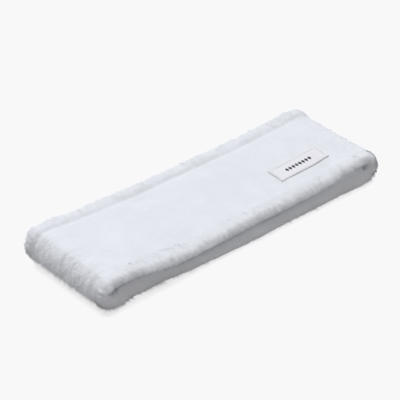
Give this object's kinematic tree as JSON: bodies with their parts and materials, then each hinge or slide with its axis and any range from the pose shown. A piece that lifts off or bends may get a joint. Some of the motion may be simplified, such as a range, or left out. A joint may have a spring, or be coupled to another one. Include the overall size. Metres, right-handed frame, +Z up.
{
  "type": "spa headband",
  "caption": "Wide closed-loop plush fabric headband with rolled hems, lined inside, lying flat; it opens into a ring for wearing round the head.",
  "frame": {"origin": "middle of the footprint, on the surface that the flattened band rests on", "axes": "+X along the flattened band towards the end with the label, +Y across its width, +Z up from the back panel to the front panel"},
  "size_m": [0.24, 0.078, 0.028],
  "materials": {
    "plush": "thick brushed plush pile, matt",
    "lining": "short brushed fleece, matt",
    "thread": "spun sewing thread",
    "label": "fine damask weave, slight satin sheen",
    "care_tag": "smooth printed-tag satin, blank"
  },
  "bodies": {
    "back_center": {"plush_back_center": "plush", "lining_back_center": "lining", "hem_thread_back_center": "thread", "closing_seam_thread": "thread", "seam_allowance": "plush", "care_tag": "care_tag"},
    "back_right": {"plush_back_right": "plush", "lining_back_right": "lining", "hem_thread_back_right": "thread", "plush_fold_right": "plush", "lining_fold_right": "lining", "hem_thread_fold_right": "thread"},
    "front_right": {"plush_front_right": "plush", "lining_front_right": "lining", "hem_thread_front_right": "thread", "woven_label": "label", "label_stitches": "thread"},
    "front_center_right": {"plush_front_center_right": "plush", "lining_front_center_right": "lining", "hem_thread_front_center_right": "thread"},
    "back_left": {"plush_back_left": "plush", "lining_back_left": "lining", "hem_thread_back_left": "thread", "plush_fold_left": "plush", "lining_fold_left": "lining", "hem_thread_fold_left": "thread"},
    "front_left": {"plush_front_left": "plush", "lining_front_left": "lining", "hem_thread_front_left": "thread"},
    "front_center_left": {"plush_front_center_left": "plush", "lining_front_center_left": "lining", "hem_thread_front_center_left": "thread"}
  },
  "joints": [
    {"name": "back_right_bend", "type": "hinge", "parent": "back_center", "child": "back_right", "pos_m": [0.036, 0, 0.0162], "axis": [0, -1, 0], "range_deg": [0, 60]},
    {"name": "right_fold", "type": "hinge", "parent": "back_right", "child": "front_right", "pos_m": [0.11, 0, 0.014], "axis": [0, 1, 0], "range_deg": [0, 120], "deforming": ["plush_fold_right", "lining_fold_right", "hem_thread_fold_right"]},
    {"name": "front_right_bend", "type": "hinge", "parent": "front_right", "child": "front_center_right", "pos_m": [0.036, 0, 0.0118], "axis": [0, -1, 0], "range_deg": [0, 60]},
    {"name": "back_left_bend", "type": "hinge", "parent": "back_center", "child": "back_left", "pos_m": [-0.036, 0, 0.0162], "axis": [0, 1, 0], "range_deg": [0, 60]},
    {"name": "left_fold", "type": "hinge", "parent": "back_left", "child": "front_left", "pos_m": [-0.11, 0, 0.014], "axis": [0, -1, 0], "range_deg": [0, 120], "deforming": ["plush_fold_left", "lining_fold_left", "hem_thread_fold_left"]},
    {"name": "front_left_bend", "type": "hinge", "parent": "front_left", "child": "front_center_left", "pos_m": [-0.036, 0, 0.0118], "axis": [0, 1, 0], "range_deg": [0, 60]}
  ],
  "couplings": [
    {"joint": "right_fold", "follows": "back_right_bend", "ratio": 2},
    {"joint": "front_right_bend", "follows": "back_right_bend", "ratio": 1},
    {"joint": "back_left_bend", "follows": "back_right_bend", "ratio": 1},
    {"joint": "left_fold", "follows": "back_right_bend", "ratio": 2},
    {"joint": "front_left_bend", "follows": "back_right_bend", "ratio": 1}
  ]
}
